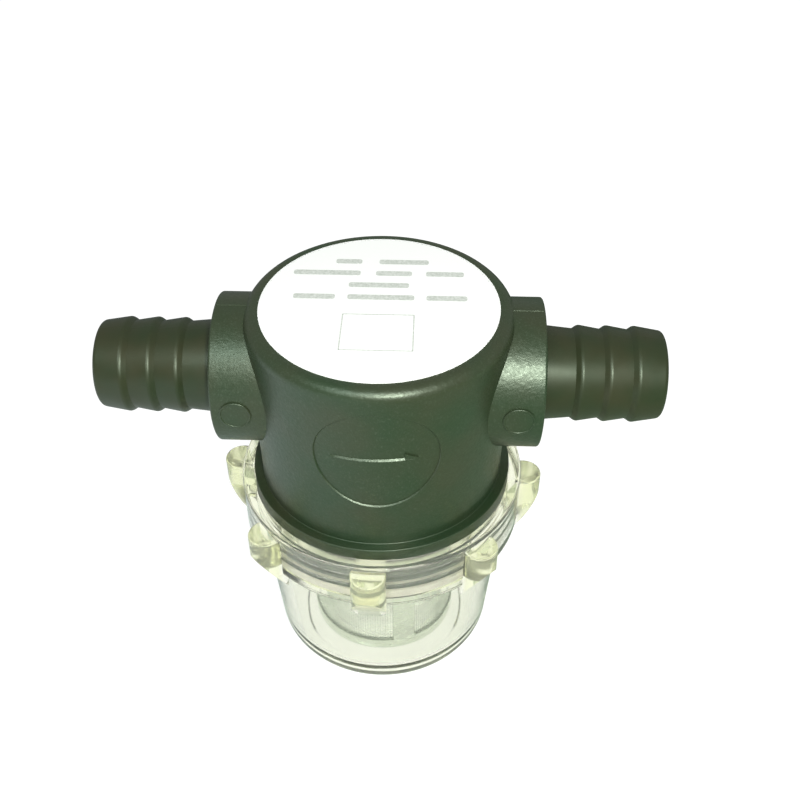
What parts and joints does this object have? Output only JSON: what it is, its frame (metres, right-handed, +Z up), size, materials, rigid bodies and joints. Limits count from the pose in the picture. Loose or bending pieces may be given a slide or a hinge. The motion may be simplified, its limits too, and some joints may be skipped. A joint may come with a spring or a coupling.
{
  "type": "in-line water strainer",
  "caption": "In-line sea water strainer with a clear screw-on bowl, a stainless mesh screen inside and a hose barb on each side of a moulded head.",
  "frame": {"origin": "centre of the bowl's foot, on the surface that the strainer stands on", "axes": "+Z up along the bowl's axis, +X along the ports towards the outlet barb"},
  "size_m": [0.1192, 0.0738, 0.0939],
  "materials": {
    "black_plastic": "grainy glass-filled",
    "barb_plastic": "semi-gloss",
    "clear_plastic": "clear, slightly yellow",
    "paper": "matt white",
    "pale_rubber": "matt",
    "stainless": "woven and rolled"
  },
  "bodies": {
    "head_body": {"head": "black_plastic", "inlet_barb": "barb_plastic", "outlet_barb": "barb_plastic", "label": "paper"},
    "screen_body": {"screen_mesh": "stainless", "screen_top_band": "stainless", "screen_foot_band": "stainless", "screen_seam": "stainless"},
    "bowl_body": {"bowl": "clear_plastic", "bowl_gasket": "pale_rubber"}
  },
  "joints": [
    {"name": "screen_drop", "type": "slide", "parent": "head_body", "child": "screen_body", "axis": [0, 0, -1], "range_m": [0, 0.00752]},
    {"name": "bowl_turn", "type": "hinge", "parent": "screen_body", "child": "bowl_body", "pos_m": [0, 0, 0], "axis": [0, 0, -1], "range_deg": [0, 846]}
  ],
  "couplings": [
    {"joint": "screen_drop", "follows": "bowl_turn", "m_per_rad": 0.0005093}
  ]
}
